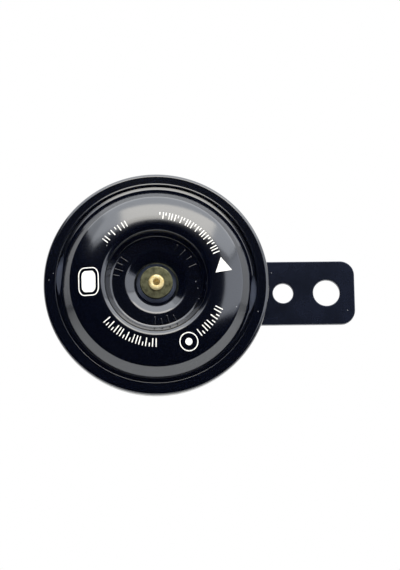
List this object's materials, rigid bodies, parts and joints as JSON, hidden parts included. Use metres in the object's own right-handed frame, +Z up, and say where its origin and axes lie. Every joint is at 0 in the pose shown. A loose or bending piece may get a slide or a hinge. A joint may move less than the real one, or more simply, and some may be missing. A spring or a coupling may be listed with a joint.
{
  "type": "disc horn",
  "caption": "Small round electric disc horn for a vehicle, with a stepped black pressed cover, sound ports, a crimped rim and a flat strap bracket with two bolt holes.",
  "frame": {"origin": "centre of the bracket's large bolt hole, on the strap's rear face", "axes": "+X from the horn's axis to the strap's free end, +Y to the rear along the bolt hole and the horn's axis, +Z up; the horn faces -Y"},
  "size_m": [0.0983, 0.0328, 0.07],
  "materials": {
    "black_enamel": "gloss",
    "black_strap_enamel": "satin",
    "gasket_paper": "matte",
    "diaphragm_steel": "satin",
    "zinc_steel": "satin",
    "yellow_zinc": "satin",
    "brass": "satin",
    "soft_iron": "satin",
    "phenolic": "satin",
    "nylon": "satin",
    "copper_winding": "gloss",
    "spring_bronze": "satin",
    "tungsten": "satin",
    "tinned_brass": "satin",
    "lacquer": "gloss",
    "ceramic_body": "matte"
  },
  "bodies": {
    "horn": {"front_cover": "black_enamel", "rear_housing": "black_enamel", "bracket": "black_strap_enamel", "front_gasket": "gasket_paper", "rear_gasket": "gasket_paper", "diaphragm": "diaphragm_steel", "magnet_core": "zinc_steel", "coil_bobbin": "nylon", "coil_winding": "copper_winding", "contact_base_insulator": "phenolic", "contact_middle_insulator": "phenolic", "contact_top_insulator": "phenolic", "fixed_contact_arm": "zinc_steel", "moving_contact_leaf": "spring_bronze", "fixed_contact": "tungsten", "moving_contact": "tungsten", "contact_rivets": "tinned_brass", "adjusting_screw": "zinc_steel", "sealing_lacquer": "lacquer", "terminal_base": "phenolic", "terminal_inner_insulator": "phenolic", "terminal_blade_live": "tinned_brass", "terminal_blade_ground": "tinned_brass", "terminal_rivets": "tinned_brass", "suppressor_resistor": "ceramic_body", "spring_washer": "zinc_steel", "bracket_nut": "zinc_steel"},
    "moving_centre": {"armature": "soft_iron", "centre_spacer": "zinc_steel", "centre_washer": "yellow_zinc", "centre_rivet": "brass", "contact_pusher": "phenolic"}
  },
  "joints": [
    {"name": "armature_stroke", "type": "slide", "parent": "horn", "child": "moving_centre", "axis": [0, -1, 0], "range_m": [-0.0005, 0.0004], "stiffness_N_per_m": 1000, "deforming": ["diaphragm", "moving_contact_leaf"]}
  ]
}
